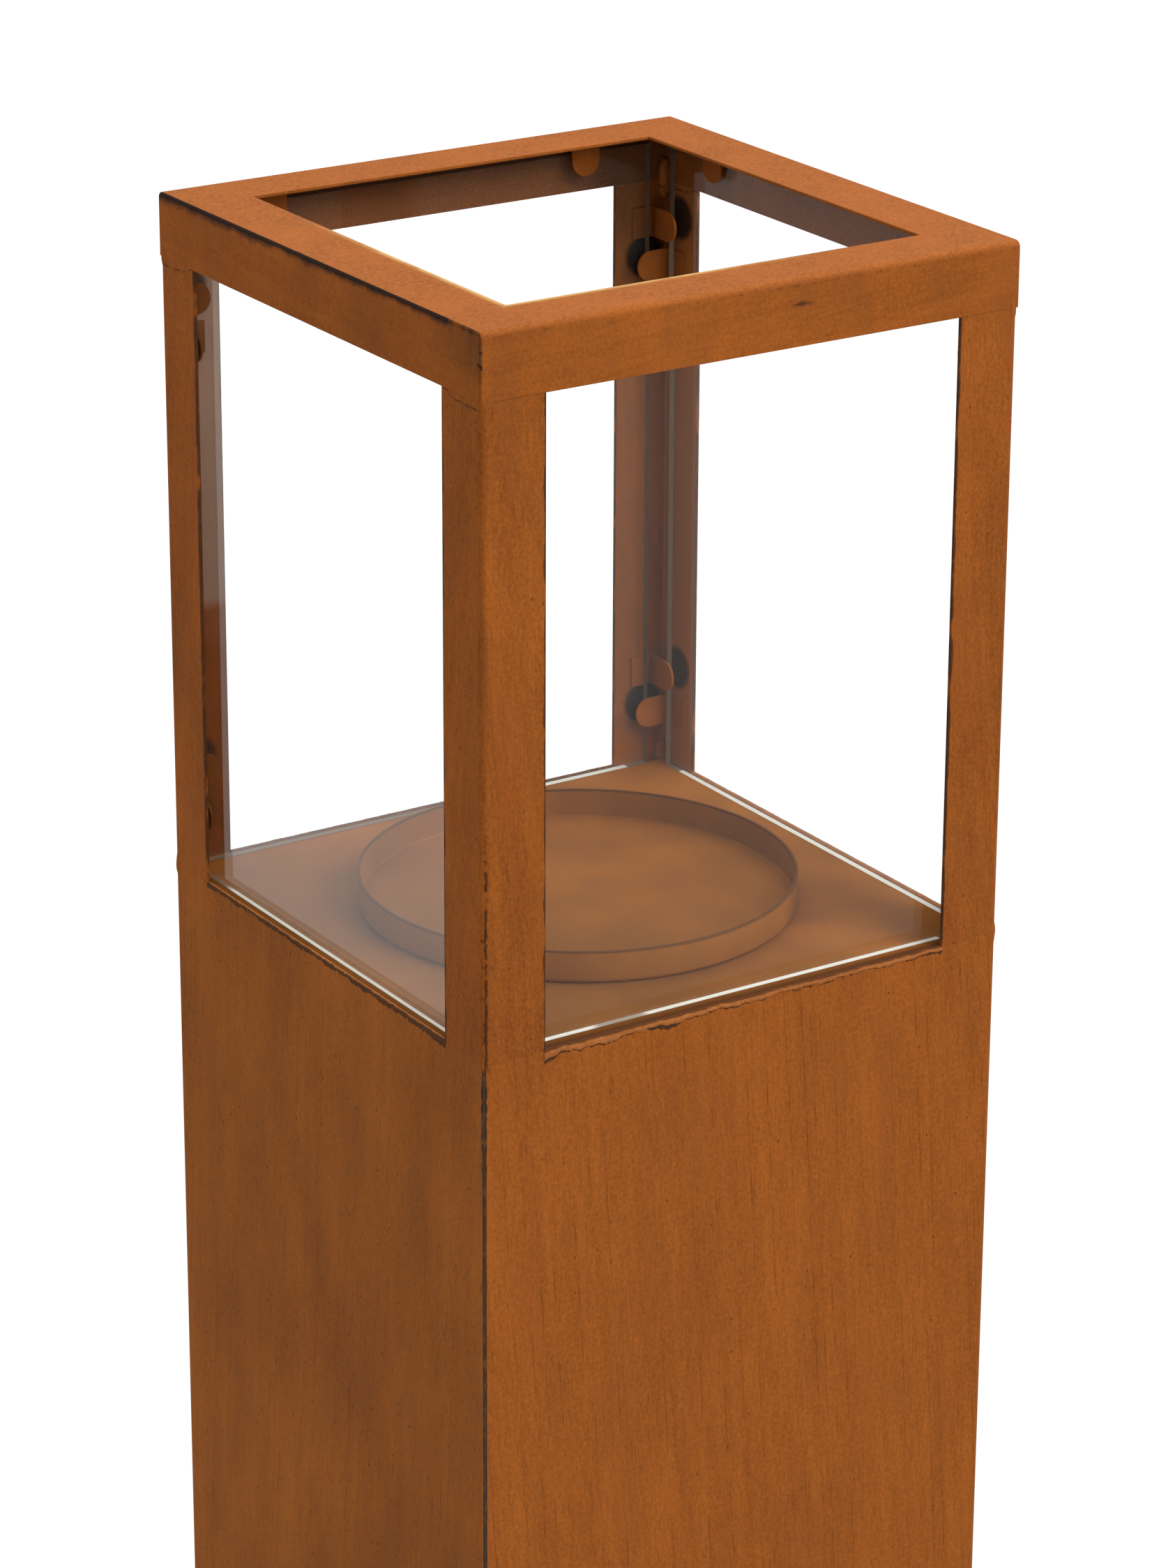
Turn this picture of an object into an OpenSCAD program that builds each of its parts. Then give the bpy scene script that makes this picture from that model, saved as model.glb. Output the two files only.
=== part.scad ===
// Square sheet-steel column with a glazed lantern head, open at the top.
// A round dish stands on the shelf behind the glass and lifts out through the cap.
// Millimetres, +Z up, origin on the floor under the middle of the column, front towards -Y.

/* [Column] */
// Outside width of the square column
column_width = 220; // [180:1:320]
// Height from the floor to the top of the cap
column_height = 1000; // [600:5:1600]
// Thickness of the sheet steel
sheet = 1.2; // [0.8:0.1:2]
// Outside radius of the folded sheet edges
fold_radius = 2.5; // [2.2:0.1:4]
// How far the weld bead stays below the corner in the two open seams
seam_recess = 0.3; // [0.1:0.1:0.6]

/* [Head] */
// Height from the shelf to the top of the cap
head_height = 260; // [180:1:400]
// Width of each flange of the corner posts
post_width = 25; // [22:1:40]
// Width of the cap's flat rim around the opening
cap_rim = 25; // [22:1:45]
// Depth of the cap's skirt
cap_skirt = 24; // [14:1:40]
// Gap around the two side plates of the cap
cap_weld_gap = 0.1; // [0.05:0.05:0.3]

/* [Glazing] */
// Thickness of the glass
glass = 4; // [2:0.5:6]
// Gap between the top of a pane and the underside of the cap
pane_head_gap = 6.8; // [2:0.2:12]
// Gap under a pane, where it stands on the rough paint of the shelf
pane_foot_gap = 0.2; // [0.1:0.1:0.8]
// How far the loose front pane stands back from the posts
front_pane_back = 5; // [1.6:0.2:8]
// How far the loose right pane stands back from the posts
right_pane_back = 1.6; // [1.6:0.2:8]
// How far the loose rear pane stands back from the posts
rear_pane_back = 1.6; // [1.6:0.2:8]
// How far the loose left pane stands back from the posts
left_pane_back = 2.6; // [1.6:0.2:8]

/* [Clips] */
// Width of the clips
clip_width = 12; // [8:1:16]
// Thickness of the clips
clip_sheet = 1; // [0.6:0.1:1.4]
// Outside radius of the clips' bend
clip_bend = 1.6; // [1.5:0.1:3]
// Gap between a clip and the panes beside it
clip_clearance = 0.5; // [0.3:0.1:2]
// How far a side clip's tongue covers the edge of its pane
side_clip_cover = 6; // [4:0.5:12]
// How far a top clip's tongue covers the edge of its pane
top_clip_cover = 8.5; // [4:0.5:14]
// Length of a clip's welded foot
clip_foot = 10; // [6:1:14]
// Height of the lowest side clips above the shelf, to their middle
clip_rise = 22; // [12:1:60]
// Depth of the highest side clips below the top of the cap, to their middle
clip_drop = 40; // [30:1:70]
// Gap in height between the clips of two panes that meet at a post
clip_step_gap = 4; // [1:0.5:20]
// Distance from the side edge of a pane to the middle of its top clips
top_clip_inset = 30; // [20:1:60]

/* [Dish] */
// Gap all round the dish as it is lifted through the cap's opening
dish_clearance = 5; // [2:0.5:30]
// Height of the dish's rim
dish_rim = 12.5; // [6:0.5:30]
// Thickness of the dish's sheet
dish_sheet = 1; // [0.6:0.1:1.5]
// Outside radius of the dish's bottom edge
dish_edge_radius = 2; // [1.6:0.1:5]

/* [Shelf and base] */
// Depth of the flanges of the shelf and the base
tray_flange = 20; // [10:1:40]
// Distance from a tray's corner to the end of its flanges
tray_relief = 6; // [5:0.5:20]
// Gap between the trays and the walls that they are welded to
tray_gap = 0.1; // [0.05:0.05:0.3]

/* [Hidden] */
$fn = 96;

// Turns about Z that bring the front to each side, and the front left corner to each corner
front = 0;
right = 90;
rear = 180;
left = 270;

outer = column_width / 2;
inner = outer - sheet;
shelf_z = column_height - head_height;
skirt_z = column_height - cap_skirt;
cap_under_z = column_height - sheet;
opening = column_width - 2 * cap_rim;

// The clips pass between the two panes that meet at a corner. Those of the pane that stands
// furthest back set the width of all four
deepest_back = max(front_pane_back, right_pane_back, rear_pane_back, left_pane_back);
pane_edge_gap = deepest_back + glass + clip_sheet + 2 * clip_clearance;
pane_half_width = inner - pane_edge_gap;
pane_height = head_height - sheet - pane_head_gap - pane_foot_gap;
side_clip_reach = pane_edge_gap + side_clip_cover;
top_clip_reach = pane_head_gap + top_clip_cover;
top_clip_x = pane_half_width - top_clip_inset;

// The clips of two panes cross at a post, so each pane has them low at its left end, seen from
// outside, and high at its right end, and the four posts are alike
clip_step = clip_width + clip_step_gap;
low_clip_heights = [shelf_z + clip_rise, column_height - clip_drop - clip_step];
high_clip_heights = [shelf_z + clip_rise + clip_step, column_height - clip_drop];

dish_radius = opening / 2 - dish_clearance;
tray_width = 2 * (inner - tray_gap);

steel = "#9c5a2a";
weld = "#3a2a20";
clear = [0.85, 0.92, 0.9, 0.35];

// Folded strip in section: outside corner at the origin, legs along +X and +Y
module fold_section(leg_x, leg_y, thickness, radius) {
    translate([radius, 0]) square([leg_x - radius, thickness]);
    translate([0, radius]) square([thickness, leg_y - radius]);
    translate([radius, radius]) intersection() {
        difference() {
            circle(radius);
            circle(radius - thickness);
        }
        translate([-radius, -radius]) square(radius);
    }
}

// Two walls of the column folded from one sheet, with the fold at the front right
module shell() {
    wall = column_width - sheet;
    translate([outer, -outer]) mirror([1, 0])
        linear_extrude(shelf_z) fold_section(wall, wall, sheet, fold_radius);
}

module front_shell() {
    color(steel) shell();
}

module rear_shell() {
    color(steel) rotate(rear) shell();
}

// A bead fills each corner where the two shells meet edge to edge
module seam_welds() {
    bead = sheet - seam_recess;
    color(weld) for (turn = [front, rear]) rotate(turn)
        translate([-inner, -inner]) intersection() {
            cylinder(h = shelf_z, r = bead);
            translate([-sheet, -sheet]) cube([sheet, sheet, shelf_z]);
        }
}

// Square plate with four upturned flanges, open at the corners
module tray() {
    flat = tray_width - 2 * fold_radius;
    length = tray_width - 2 * tray_relief;
    translate([-flat / 2, -flat / 2]) cube([flat, flat, sheet]);
    for (turn = [front, right, rear, left]) rotate(turn)
        translate([0, -tray_width / 2]) rotate([90, 0, 90])
            linear_extrude(length, center = true)
                fold_section(fold_radius + tray_relief, tray_flange, sheet, fold_radius);
}

module base_tray() {
    color(steel) tray();
}

module shelf_tray() {
    color(steel) translate([0, 0, shelf_z]) mirror([0, 0, 1]) tray();
}

// Folded angle that stands on the corner of the walls and carries the cap
module post(turn) {
    color(steel) rotate(turn) translate([-outer, -outer, shelf_z])
        linear_extrude(skirt_z - shelf_z)
            fold_section(post_width, post_width, sheet, fold_radius);
}

// Top of the cap with its front and rear skirts, folded from one sheet
module cap_channel() {
    color(steel) difference() {
        for (turn = [front, rear]) rotate(turn)
            translate([0, -outer, column_height]) mirror([0, 0, 1]) rotate([90, 0, 90])
                linear_extrude(column_width, center = true)
                    fold_section(outer, cap_skirt, sheet, fold_radius);
        translate([-opening / 2, -opening / 2, skirt_z])
            cube([opening, opening, 2 * cap_skirt]);
    }
}

// Plate welded in under the channel, with corners that follow its inside fold
module cap_side(turn) {
    half = inner - cap_weld_gap;
    height = cap_skirt - sheet - cap_weld_gap;
    corner = fold_radius - sheet;
    color(steel) rotate(turn) translate([0, -outer, skirt_z]) rotate([90, 0, 0]) mirror([0, 0, 1])
        linear_extrude(sheet) {
            translate([-half, 0]) square([2 * half, height - corner]);
            translate([-half + corner, 0]) square([2 * (half - corner), height]);
            for (end = [-1, 1])
                translate([end * (half - corner), height - corner]) circle(corner);
        }
}

module pane(turn, back) {
    color(clear) rotate(turn)
        translate([-pane_half_width, back - inner, shelf_z + pane_foot_gap])
            cube([2 * pane_half_width, glass, pane_height]);
}

// Bent strip: tongue with a round end along +X, foot along +Y, width along Z
module clip(tongue) {
    round_x = tongue - clip_width / 2;
    intersection() {
        linear_extrude(clip_width, center = true)
            fold_section(tongue, clip_foot, clip_sheet, clip_bend);
        union() {
            translate([0, 0, -clip_width / 2]) cube([round_x, clip_foot, clip_width]);
            translate([round_x, 0, 0]) rotate([-90, 0, 0]) cylinder(h = clip_foot, d = clip_width);
        }
    }
}

// Clips with their feet on the posts' other flanges, and their tongues over a pane's side edges
module side_clips(turn, back) {
    place = [-inner, back + glass + clip_clearance - inner];
    color(steel) rotate(turn) {
        for (height = low_clip_heights)
            translate([place.x, place.y, height]) clip(side_clip_reach);
        for (height = high_clip_heights) mirror([1, 0, 0])
            translate([place.x, place.y, height]) clip(side_clip_reach);
    }
}

// Clips with their feet under the cap, and their tongues over a pane's top edge
module top_clips(turn, back) {
    color(steel) rotate(turn)
        for (end = [-1, 1])
            translate([end * top_clip_x, back + glass + clip_clearance - inner, cap_under_z])
                rotate([0, 90, 0]) clip(top_clip_reach);
}

// Shallow round tray that stands loose on the shelf
module dish() {
    color(steel) translate([0, 0, shelf_z]) rotate_extrude() {
        square([dish_radius - dish_edge_radius, dish_sheet]);
        translate([dish_radius, 0]) mirror([1, 0])
            fold_section(dish_edge_radius + dish_sheet, dish_rim, dish_sheet, dish_edge_radius);
    }
}

front_shell();
rear_shell();
seam_welds();
base_tray();
shelf_tray();
post(front);  // front_left_post
post(right);  // front_right_post
post(rear);  // rear_right_post
post(left);  // rear_left_post
cap_channel();
cap_side(left);  // cap_left_side
cap_side(right);  // cap_right_side
pane(front, front_pane_back);  // front_pane
pane(right, right_pane_back);  // right_pane
pane(rear, rear_pane_back);  // rear_pane
pane(left, left_pane_back);  // left_pane
side_clips(front, front_pane_back);  // front_side_clips
side_clips(right, right_pane_back);  // right_side_clips
side_clips(rear, rear_pane_back);  // rear_side_clips
side_clips(left, left_pane_back);  // left_side_clips
top_clips(front, front_pane_back);  // front_top_clips
top_clips(right, right_pane_back);  // right_top_clips
top_clips(rear, rear_pane_back);  // rear_top_clips
top_clips(left, left_pane_back);  // left_top_clips
dish();
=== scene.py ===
"""Dresses a glazed sheet-steel lantern column: rust paint, wear, painted light and shade, glass, torn lips,
studio and camera.
"""

from __future__ import annotations

import logging
import math
import random
from collections.abc import Callable
from dataclasses import dataclass, replace
from enum import Enum
from typing import Protocol, TypeVar

import bmesh
import bpy
from mathutils import Matrix, Vector, noise


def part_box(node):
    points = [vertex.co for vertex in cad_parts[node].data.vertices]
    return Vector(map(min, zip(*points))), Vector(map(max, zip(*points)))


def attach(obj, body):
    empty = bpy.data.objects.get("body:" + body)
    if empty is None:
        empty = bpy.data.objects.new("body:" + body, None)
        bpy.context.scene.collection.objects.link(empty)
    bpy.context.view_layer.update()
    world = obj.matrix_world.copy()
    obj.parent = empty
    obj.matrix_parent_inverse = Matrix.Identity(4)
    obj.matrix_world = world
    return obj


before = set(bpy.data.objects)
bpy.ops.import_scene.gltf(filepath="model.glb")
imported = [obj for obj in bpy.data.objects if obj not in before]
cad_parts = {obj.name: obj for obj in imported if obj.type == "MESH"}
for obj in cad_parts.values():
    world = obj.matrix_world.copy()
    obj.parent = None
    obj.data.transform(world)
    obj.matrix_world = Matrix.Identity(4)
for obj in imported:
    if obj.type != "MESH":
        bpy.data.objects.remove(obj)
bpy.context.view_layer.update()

LOG = logging.getLogger("lantern_column")
MM = 0.001
# Thickness of the sheet steel
SHEET = 1.2 * MM
# How far inside an outer face a point still counts as lying on it
SKIN = 0.35 * MM
# Share of the normal from which a surface counts as facing a direction
FACING = 0.7

Colour = tuple[float, float, float]
Point = tuple[float, float, float]


class Side(Enum):
    """The four sides of the column, with the turn about Z that brings the front there."""

    FRONT = 0
    RIGHT = 90
    REAR = 180
    LEFT = 270

    @property
    def turn(self) -> Matrix:
        """Rotation that carries the front to this side."""
        return Matrix.Rotation(math.radians(self.value), 4, "Z")


class Grain(Enum):
    """How the paint's streaks run, as stretches along X, Y and Z."""

    UPRIGHT = (1.0, 1.0, 0.03)
    LEVEL = (0.05, 0.05, 1.0)
    EVEN = (1.0, 1.0, 1.0)


@dataclass(frozen=True)
class Sizes:
    """Main sizes of the column in metres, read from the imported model."""

    outer: float
    shelf_z: float
    skirt_z: float
    top_z: float
    post_width: float

    @classmethod
    def read(cls) -> Sizes:
        """Takes the sizes from the boxes of the nodes."""
        low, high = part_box("front_left_post")
        cap_low, cap_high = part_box("cap_channel")
        return cls(
            outer=cap_high.x,
            shelf_z=low.z,
            skirt_z=cap_low.z,
            top_z=cap_high.z,
            post_width=high.x - low.x,
        )

    @property
    def window(self) -> float:
        """Half the width of the windows and of the cap's opening."""
        return self.outer - self.post_width

    def on_left(self, x: Value) -> Value:
        """1 on the column's left face."""
        return x.below(-self.outer + SKIN)

    def up_skirt(self, z: Value) -> Value:
        """Height on the cap's skirt: 0 at its foot and 1 at the top."""
        return (z - self.skirt_z) / (self.top_z - self.skirt_z)


COLUMN = Sizes.read()


def joining(operation: str) -> Callable[[Value, Value | float], Value]:
    """Method of a value that joins it with another term by one operation of the Math node."""

    def method(self: Value, other: Value | float) -> Value:
        """Result of the Math node."""
        return self.apply(operation, self, other)

    return method


@dataclass(frozen=True)
class Value:
    """A shader socket that takes part in Python expressions.

    Beside sums and products, most and least give the larger and the smaller of two terms, and above
    and below give 1 where the value is over or under a limit, otherwise 0.
    """

    graph: Graph
    socket: bpy.types.NodeSocket

    __add__ = __radd__ = joining("ADD")
    __sub__ = joining("SUBTRACT")
    __mul__ = __rmul__ = joining("MULTIPLY")
    __truediv__ = joining("DIVIDE")
    __pow__ = joining("POWER")
    most = joining("MAXIMUM")
    least = joining("MINIMUM")
    above = joining("GREATER_THAN")
    below = joining("LESS_THAN")

    def apply(self, operation: str, *terms: Value | float) -> Value:
        """Result of one Math node, with the terms as its inputs in order."""
        return self.graph.read("Math", dict(enumerate(terms)), {"operation": operation})

    def __rsub__(self, other: float) -> Value:
        """Difference from a number on the left."""
        return self.apply("SUBTRACT", other, self)

    def __abs__(self) -> Value:
        """Distance from zero."""
        return self.apply("ABSOLUTE", self)

    def sine(self) -> Value:
        """Sine of an angle in radians."""
        return self.apply("SINE", self)

    def ease(self, low: float, high: float) -> Value:
        """Smooth rise from 0 at low to 1 at high; low may be the larger of the two.

        Args:
            low: Where the rise starts.
            high: Where it ends.

        Returns:
            A value from 0 to 1.
        """
        if low > high:
            return 1.0 - self.ease(high, low)
        terms = {"Value": self, "From Min": low, "From Max": high}
        return self.graph.read("MapRange", terms, {"interpolation_type": "SMOOTHSTEP"})


class Graph:
    """Builds the nodes of one material or of the world."""

    def __init__(self, tree: bpy.types.NodeTree) -> None:
        """Starts with an empty tree."""
        self.tree = tree
        self._place: Value | None = None
        tree.nodes.clear()

    def node(self, kind: str, inputs: dict | None = None, settings: dict | None = None) -> bpy.types.Node:
        """Makes one node.

        Args:
            kind: Blender's type of shader node.
            inputs: Values or links of its sockets, by name or index.
            settings: Its properties, which are set first.

        Returns:
            The new node.
        """
        node = self.tree.nodes.new(f"ShaderNode{kind}")
        for name, value in (settings or {}).items():
            setattr(node, name, value)
        for key, value in (inputs or {}).items():
            socket = node.inputs[key]
            if isinstance(value, Value):
                self.tree.links.new(value.socket, socket)
            elif socket.type == "RGBA":
                socket.default_value = (*value, 1.0)
            else:
                socket.default_value = value
        return node

    def read(
        self, kind: str, inputs: dict | None = None, settings: dict | None = None, output: int | str = 0
    ) -> Value:
        """Makes one node and wraps one of its outputs.

        Args:
            kind: Blender's type of shader node.
            inputs: Values or links of its sockets.
            settings: Its properties.
            output: Name or index of the output.

        Returns:
            That output.
        """
        return Value(self, self.node(kind, inputs, settings).outputs[output])

    def place(self) -> Value:
        """Position on the piece, in metres in the shared frame."""
        if self._place is None:
            self._place = self.read("TexCoord", output="Object")
        return self._place

    def split(self, vector: Value) -> tuple[Value, Value, Value]:
        """X, Y and Z of a vector."""
        node = self.node("SeparateXYZ", {0: vector})
        x, y, z = (Value(self, output) for output in node.outputs)
        return x, y, z

    def spot(self) -> tuple[Value, Value, Value]:
        """X, Y and Z of the position on the piece."""
        return self.split(self.place())

    def facing(self) -> tuple[Value, Value, Value]:
        """X, Y and Z of the surface's true normal."""
        return self.split(self.read("NewGeometry", output="True Normal"))

    def outward(self) -> Value:
        """Distance from the column's axis to the surface's plane, negative where it faces inwards."""
        x, y, _ = self.spot()
        face_x, face_y, _ = self.facing()
        return x * face_x + y * face_y

    def leaning(self, degrees: float) -> Value:
        """Position turned a little about X and Y, so that upright streaks lean on every side."""
        lean = math.radians(degrees)
        return self.read("Mapping", {"Vector": self.place(), "Rotation": (-lean, lean, 0.0)})

    def scaled(self, place: Value, per_metre: float, stretch: Point, shift: float) -> Value:
        """Position in blotches instead of metres.

        Args:
            place: Position in metres.
            per_metre: How many blotches a metre holds.
            stretch: Factors on the density along X, Y and Z.
            shift: Offset that gives another pattern.

        Returns:
            The scaled position.
        """
        factors = tuple(per_metre * share for share in stretch)
        offset = (shift, 2.3 * shift, 3.1 * shift)
        terms = {0: place, 1: factors, 2: offset}
        return self.read("VectorMath", terms, {"operation": "MULTIPLY_ADD"})

    def blotches(
        self,
        per_metre: float,
        stretch: Point = (1.0, 1.0, 1.0),
        detail: float = 2.0,
        shift: float = 0.0,
        place: Value | None = None,
    ) -> Value:
        """Soft noise.

        Args:
            per_metre: How many blotches a metre holds.
            stretch: Factors on the density along X, Y and Z.
            detail: Octaves of finer noise.
            shift: Offset that gives another pattern.
            place: Position in metres, by default that on the piece.

        Returns:
            A value around 0.5.
        """
        vector = self.scaled(place or self.place(), per_metre, stretch, shift)
        return self.read("TexNoise", {"Vector": vector, "Scale": 1.0, "Detail": detail})

    def dots(self, per_metre: float, radius: float, shift: float) -> Value:
        """Scattered round dots.

        Args:
            per_metre: How many cells, with a dot in some, a metre holds.
            radius: Radius of the largest dots in metres.
            shift: Offset that gives another pattern.

        Returns:
            Up to 1 inside the dots, with soft edges and uneven strength.
        """
        vector = self.scaled(self.place(), per_metre, (1.0, 1.0, 0.7), shift)
        cells = self.node("TexVoronoi", {"Vector": vector, "Scale": 1.0})
        chance, _, _ = self.split(Value(self, cells.outputs["Color"]))
        away = Value(self, cells.outputs["Distance"]) / (0.55 + 0.45 * chance)
        reach = radius * per_metre
        return away.ease(reach, 0.4 * reach) * (0.15 + 0.85 * chance * chance)

    def threads(self, place: Value, per_metre: float, half_width: float) -> Value:
        """Thin upright lines at uneven distances.

        Args:
            place: Position in metres, leaning if the lines are to lean.
            per_metre: How many lines a metre holds.
            half_width: Half the width of the lines in metres.

        Returns:
            Up to 1 on the lines, each with its own strength.
        """
        x, y, _ = self.split(place)
        wobble = self.blotches(30, (1.0, 1.0, 0.3), 2.0, 51.0) - 0.5
        terms = {"W": (x + y) * per_metre + 0.5 * wobble, "Scale": 1.0}
        cells = self.node("TexVoronoi", terms, {"voronoi_dimensions": "1D"})
        chance, _, _ = self.split(Value(self, cells.outputs["Color"]))
        reach = half_width * per_metre
        return Value(self, cells.outputs["Distance"]).ease(reach, 0.3 * reach) * (0.15 + 0.85 * chance)

    def mix(self, factor: Value | float, start: Value | Colour, end: Value | Colour) -> Value:
        """Colour between two colours.

        Args:
            factor: 0 gives the start and 1 the end.
            start: First colour.
            end: Second colour.

        Returns:
            The mixed colour.
        """
        return self.read("Mix", {0: factor, 6: start, 7: end}, {"data_type": "RGBA"}, output=2)

    def finish(self, shader: Value) -> None:
        """Ends a material's tree with its surface."""
        self.node("OutputMaterial", {"Surface": shader})

    def coat(self, inputs: dict, height: Value, strength: float, depth: float) -> None:
        """Ends a material's tree with an opaque, uneven coat.

        Args:
            inputs: Values or links of the coat's sockets, apart from its normal.
            height: Its relief.
            strength: How clearly the relief shows.
            depth: Height of the relief in metres.
        """
        terms = {"Strength": strength, "Distance": depth, "Height": height}
        relief = self.read("Bump", terms, output="Normal")
        self.finish(self.read("BsdfPrincipled", {**inputs, "Normal": relief}))


def blank(name: str) -> tuple[bpy.types.Material, Graph]:
    """New material of that name with an empty tree, and the graph that fills it."""
    made = bpy.data.materials.new(name)
    made.use_nodes = True
    return made, Graph(made.node_tree)


Number = TypeVar("Number", float, Value)


@dataclass(frozen=True)
class Tear:
    """Wandering lower border of the window lips, which the dark line on the walls follows."""

    front: tuple[float, float] = (1.5 * MM, 1.6 * MM)
    side: tuple[float, float] = (0.15 * MM, 0.8 * MM)
    waves: tuple[Point, ...] = ((0.2, 31 * MM, 0.4), (0.16, 13 * MM, 1.9), (0.1, 5.1 * MM, 4.0))
    far_end: float = 0.23
    length: float = 1.55
    slant: float = 1.37

    def run(self, x: Number, y: Number) -> Number:
        """Nearness to the front left or rear right corner: 1 at that end of a window and 0 at the other."""
        return (abs(x + y) / COLUMN.outer - self.far_end) / self.length

    def depth(self, x: Number, y: Number, on_side: Number, sine: Callable[[Number], Number]) -> Number:
        """Depth of the border below the shelf.

        Args:
            x: Place on the wall.
            y: Place on the wall.
            on_side: 1 on the left and right sides and 0 on the front and rear.
            sine: Sine for numbers of this kind.

        Returns:
            The depth in metres.
        """
        sway = 1.0
        for share, length, phase in self.waves:
            sway = share * sine((x + self.slant * y) * (math.tau / length) + phase) + sway
        least = self.front[0] + on_side * (self.side[0] - self.front[0])
        more = self.front[1] + on_side * (self.side[1] - self.front[1])
        return (least + more * self.run(x, y) ** 3) * sway


@dataclass(frozen=True)
class EdgeBurn:
    """Black band along the cap's cut top edge on the left, wide at the rear and broken at the front."""

    wide: float = 2.7 * MM
    narrow: float = 1.9 * MM

    def mask(self, graph: Graph) -> Value:
        """Where the band lies."""
        x, y, z = graph.spot()
        run = y / (2 * COLUMN.outer) + 0.5
        ragged = graph.blotches(140, (0.0, 1.0, 0.0), 5.0, 4.0)
        brushed = graph.blotches(900, (0.0, 0.25, 1.0), 2.0, 14.0)
        width = (self.narrow + run * (self.wide - self.narrow)) * (0.2 + 1.6 * ragged + 0.7 * (brushed - 0.5))
        broken = (run + (ragged - 0.5) * 0.5).ease(0.0, 0.1) * run.ease(0.015, 0.03)
        side = ((z - COLUMN.top_z) / width).ease(-1.7, -0.4)
        return side * COLUMN.on_left(x) * broken


@dataclass(frozen=True)
class LadderMarks:
    """Short black rungs beside the cap's near corner, on the left face."""

    reach: float = 3.6 * MM

    def mask(self, graph: Graph) -> Value:
        """Where the rungs lie."""
        x, y, z = graph.spot()
        rungs = graph.blotches(560, (0.0, 0.3, 1.0), 3.0, 9.0)
        near = (y + COLUMN.outer).ease(self.reach, 0.4 * self.reach)
        rise = COLUMN.up_skirt(z)
        span = rise.ease(0.3, 0.5) * rise.ease(0.85, 0.72)
        return COLUMN.on_left(x) * near * rungs.ease(0.47, 0.57) * span


@dataclass(frozen=True)
class CornerSmudge:
    """Soft dark smudge on the left face of the cap, beside the near corner and under the black edge."""

    reach: float = 34 * MM
    wander: float = 40 * MM

    def mask(self, graph: Graph) -> Value:
        """Where the smudge lies."""
        x, y, z = graph.spot()
        brushed = graph.blotches(110, (0.0, 1.0, 0.25), 4.0, 59.0)
        near = (y + COLUMN.outer + self.wander * (brushed - 0.5)).ease(self.reach, 0.15 * self.reach)
        rise = COLUMN.up_skirt(z)
        return COLUMN.on_left(x) * near * (rise + brushed - 0.5).ease(0.0, 0.8)


@dataclass(frozen=True)
class JointCrack:
    """Fine crack at the joint of the cap's skirt and a post, with a bend up at the window."""

    drop: float = 2.6 * MM
    width: float = 0.55 * MM
    wander: float = 2.4 * MM

    def mask(self, graph: Graph) -> Value:
        """Where the crack lies on the left and right faces."""
        _, y, z = graph.spot()
        face_x, _, _ = graph.facing()
        along = COLUMN.outer - abs(y)
        bend = along.ease(0.6 * COLUMN.post_width, COLUMN.post_width)
        wobble = (graph.blotches(160, (1.0, 1.0, 0.0), 3.0, 2.0) - 0.5) * self.wander
        line = COLUMN.skirt_z - self.drop * (1.0 - bend) + wobble
        near = abs(z - line).ease(self.width, 0.3 * self.width)
        broken = graph.blotches(190, (0.0, 1.0, 0.0), 2.0, 31.0).ease(0.36, 0.56)
        return near * broken * abs(face_x).ease(0.5, 0.8) * along.below(COLUMN.post_width)


@dataclass(frozen=True)
class WindowEdge:
    """Thin ragged dark line on a post's outer faces and its cut edges, along the edge of the window."""

    width: float = 0.7 * MM
    cut_width: float = 0.3 * MM

    def mask(self, graph: Graph) -> Value:
        """Where the line lies."""
        x, y, _ = graph.spot()
        outward = graph.outward() / COLUMN.outer
        edge = abs(x).least(abs(y)) - COLUMN.window
        ragged = graph.blotches(260, (1.0, 1.0, 0.35), 4.0, 12.0)
        cut = abs(edge).below(self.cut_width) * outward.below(-0.5)
        line = outward.above(0.9) * ((edge / self.width) - 4.0 * (ragged - 0.42)).ease(0.8, 0.2)
        return line.most(cut * ragged.ease(0.3, 0.5))


@dataclass(frozen=True)
class ShadedInside:
    """Painted shade inside the cap, apart from its right side, and under it."""

    def mask(self, graph: Graph) -> Value:
        """Where the sheet faces the middle of the column or the floor."""
        face_x, _, face_z = graph.facing()
        inward = (graph.outward() / COLUMN.outer).ease(-0.85, -0.95)
        return (inward * face_x.above(-FACING)).most(face_z.ease(-0.5, -0.9))


@dataclass(frozen=True)
class PostInsideLight:
    """Painted light on the inside of the posts' flanges on the left and on the right."""

    def mask(self, graph: Graph) -> Value:
        """Where the sheet faces the middle of the column."""
        face_x, _, _ = graph.facing()
        return graph.outward().below(0.0) * abs(face_x).above(FACING)


@dataclass(frozen=True)
class FarFlange:
    """Inside of the rear left post's rear flange, greyer above and darker below."""

    greyer: bool
    limit: float = 100 * MM
    soft: float = 3 * MM
    behind: float = 100 * MM

    def mask(self, graph: Graph) -> Value:
        """Where the flange faces the front, above or below the limit."""
        x, y, z = graph.spot()
        _, face_y, _ = graph.facing()
        rise = z - COLUMN.shelf_z - self.limit
        part = rise.ease(-self.soft, self.soft) if self.greyer else rise.ease(self.soft, -self.soft)
        return x.below(0.0) * y.above(self.behind) * face_y.below(-FACING) * part


@dataclass(frozen=True)
class ShadedClips:
    """Painted shade on the clips of the rear left post."""

    corner: float = 80 * MM

    def mask(self, graph: Graph) -> Value:
        """Where these clips are."""
        x, y, _ = graph.spot()
        return x.below(-self.corner) * y.above(self.corner)


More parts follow.
